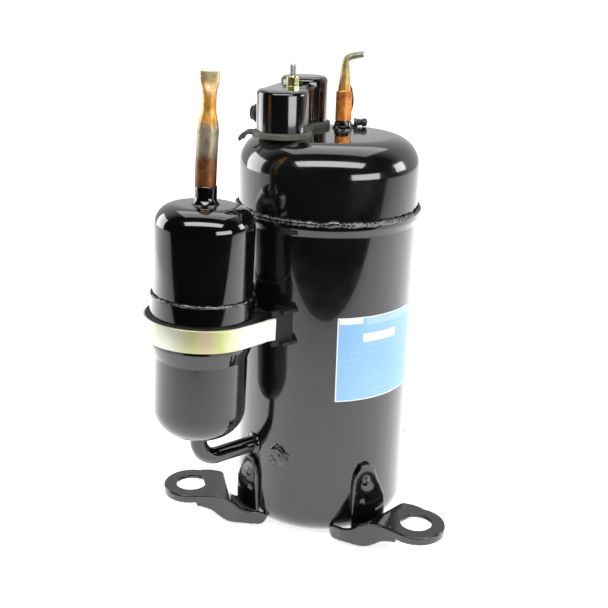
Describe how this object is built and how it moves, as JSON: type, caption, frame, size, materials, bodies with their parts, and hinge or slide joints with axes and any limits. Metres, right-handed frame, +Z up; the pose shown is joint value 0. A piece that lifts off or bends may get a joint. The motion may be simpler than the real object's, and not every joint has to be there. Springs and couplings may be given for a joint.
{
  "type": "refrigeration rotary compressor",
  "caption": "Hermetic rotary refrigerant compressor: upright welded shell on splayed feet, strapped suction accumulator, copper tubes, terminal cover, motor and rolling-piston pump inside.",
  "frame": {"origin": "centre of the three foot holes, on the underside of the foot pads", "axes": "+Z up along the shell's axis; -X towards the accumulator"},
  "size_m": [0.2274, 0.1814, 0.3107],
  "materials": {
    "shell_paint": "gloss black enamel, slightly orange-peeled",
    "accumulator_paint": "high-gloss black enamel",
    "bracket_paint": "dull black enamel",
    "bead_paint": "gloss black enamel, thin over the bead's crests",
    "copper_discharge": "copper tube, heat-tinted orange",
    "seam_metal": "painted weld bead, worn bright on its crests",
    "bare_steel": "bare ground steel",
    "copper": "copper tube, heat-tinted by brazing",
    "zinc_strap": "pale zinc with a yellow-green passivation tint",
    "zinc_nut": "yellow zinc",
    "rubber_black": "matt black rubber",
    "rubber_grey": "grey-green rubber",
    "cover_plastic": "glossy black moulded phenolic",
    "phenolic": "matt black moulding",
    "seal_glass": "sealing glass",
    "pin_metal": "plated pin",
    "connector_plastic": "natural nylon",
    "lead_insulation": "fibre sleeved leads",
    "label_paper": null,
    "lamination": "stacked electrical steel",
    "winding": "enamelled copper, laced and varnished",
    "rotor_aluminium": "die cast",
    "weight_brass": "sawn brass",
    "cast_pump": "machined grey iron",
    "shaft_steel": "ground steel",
    "bolt_steel": "black oxide"
  },
  "bodies": {
    "housing": {"lower_shell": "shell_paint", "top_cap": "shell_paint", "plug_welds": "shell_paint", "left_foot": "shell_paint", "front_foot": "shell_paint", "rear_foot": "shell_paint", "inlet_collar": "shell_paint", "discharge_stub": "shell_paint", "lead_clip": "shell_paint", "accumulator_bracket": "bracket_paint", "accumulator_upper_shell": "accumulator_paint", "accumulator_lower_shell": "accumulator_paint", "suction_stub": "accumulator_paint", "accumulator_outlet_pipe": "accumulator_paint", "seam_weld": "seam_metal", "accumulator_weld": "bead_paint", "accumulator_strainer": "bare_steel", "accumulator_baffle": "bare_steel", "terminal_body": "bare_steel", "valve_stop": "bare_steel", "valve_rivet": "bare_steel", "muffler_cover": "bare_steel", "cover_stud": "bare_steel", "vane_spring": "bare_steel", "suction_tube": "copper", "discharge_tube": "copper_discharge", "accumulator_strap": "zinc_strap", "strap_liner": "rubber_black", "cover_gasket": "rubber_grey", "overload_protector": "phenolic", "earth_screw": "phenolic", "terminal_glass": "seal_glass", "terminal_pins": "pin_metal", "lead_connector": "connector_plastic", "lead_wires": "lead_insulation", "name_label": "label_paper", "stator_core": "lamination", "stator_winding": "winding", "pump_cylinder": "cast_pump", "main_bearing": "cast_pump", "sub_bearing": "cast_pump", "pump_bolts": "bolt_steel"},
    "crank": {"crankshaft": "shaft_steel", "rotor_core": "lamination", "rotor_end_rings": "rotor_aluminium", "balance_weights": "weight_brass", "oil_paddle": "bare_steel"},
    "roller": {"rolling_piston": "bare_steel"},
    "vane_body": {"vane": "bare_steel"},
    "reed": {"discharge_reed": "bare_steel"},
    "cover": {"terminal_cover": "cover_plastic", "lead_boot": "rubber_black", "cover_washer": "zinc_nut"},
    "nut": {"cover_nut": "zinc_nut"}
  },
  "joints": [
    {"name": "crank_spin", "type": "hinge", "parent": "housing", "child": "crank", "pos_m": [0, 0, 0.042], "axis": [0, 0, 1], "continuous": true},
    {"name": "roller_spin", "type": "hinge", "parent": "crank", "child": "roller", "pos_m": [0.00169, 0.00363, 0.042], "axis": [0, 0, 1], "continuous": true},
    {"name": "vane_slide", "type": "slide", "parent": "housing", "child": "vane_body", "axis": [0.9063, -0.4226, 0], "range_m": [0, 0.0043]},
    {"name": "reed_lift", "type": "hinge", "parent": "housing", "child": "reed", "pos_m": [-0.00116, 0.01986, 0.05806], "axis": [-0.3466, 0.938, 0], "range_deg": [0, 4], "stiffness_Nm_per_rad": 0.02},
    {"name": "cover_lift", "type": "slide", "parent": "housing", "child": "cover", "axis": [0, 0, 1], "range_m": [0, 0.045]},
    {"name": "nut_spin", "type": "hinge", "parent": "cover", "child": "nut", "pos_m": [-0.01781, 0.01747, 0.2713], "axis": [0, 0, 1], "continuous": true}
  ],
  "couplings": [
    {"joint": "roller_spin", "follows": "crank_spin", "ratio": -1}
  ]
}
